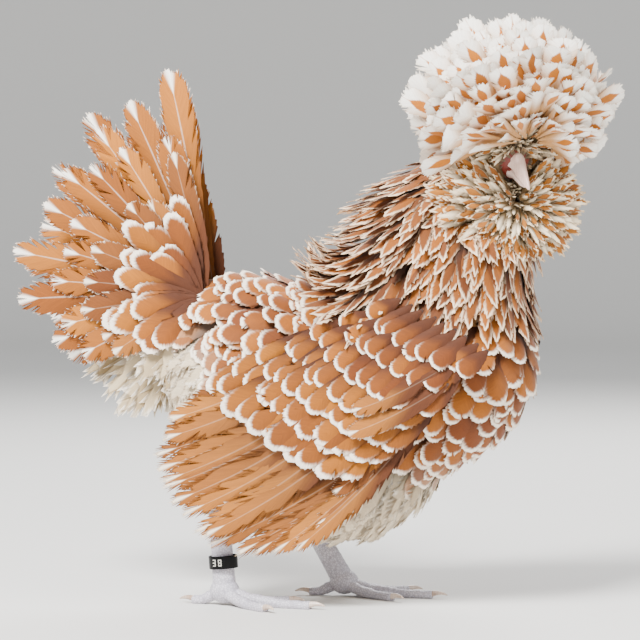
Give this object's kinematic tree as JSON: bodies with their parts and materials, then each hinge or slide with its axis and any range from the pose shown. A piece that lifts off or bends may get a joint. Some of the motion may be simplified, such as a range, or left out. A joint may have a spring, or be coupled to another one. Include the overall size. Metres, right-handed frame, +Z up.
{
  "type": "polish crested hen",
  "caption": "Life-size still model of a bearded, crested hen standing with its tail fanned and its head turned to one side.",
  "frame": {"origin": "middle of the bird's bounding box on the floor under its feet", "axes": "+Z up; the breast points along +X and is turned 18 degrees toward -Y; the tail is at -X"},
  "size_m": [0.3724, 0.1928, 0.3617],
  "materials": {
    "body_plumage": "soft matt feathers over flesh",
    "hackle": "soft matt feathers",
    "flight_feathers": "satin feathers",
    "crest_feathers": "soft matt feathers",
    "face_skin": "bare skin, slightly moist",
    "scales": "satin scaled skin",
    "beak": "satin horn",
    "claw": "satin horn",
    "eye": "wet and glossy",
    "ring": "satin black with pale numbers"
  },
  "bodies": {
    "root": {"beak_lower": "beak", "beak_upper": "beak", "beard": "crest_feathers", "claw_left_hind": "claw", "claw_left_inner": "claw", "claw_left_middle": "claw", "claw_left_outer": "claw", "claw_right_hind": "claw", "claw_right_inner": "claw", "claw_right_middle": "claw", "claw_right_outer": "claw", "crest": "crest_feathers", "eye_left": "eye", "eye_right": "eye", "head": "face_skin", "leg_band": "ring", "leg_left": "scales", "leg_right": "scales", "neck": "hackle", "tail": "flight_feathers", "thigh_left": "body_plumage", "thigh_right": "body_plumage", "torso": "body_plumage", "wing_left": "flight_feathers", "wing_right": "flight_feathers"}
  },
  "joints": []
}
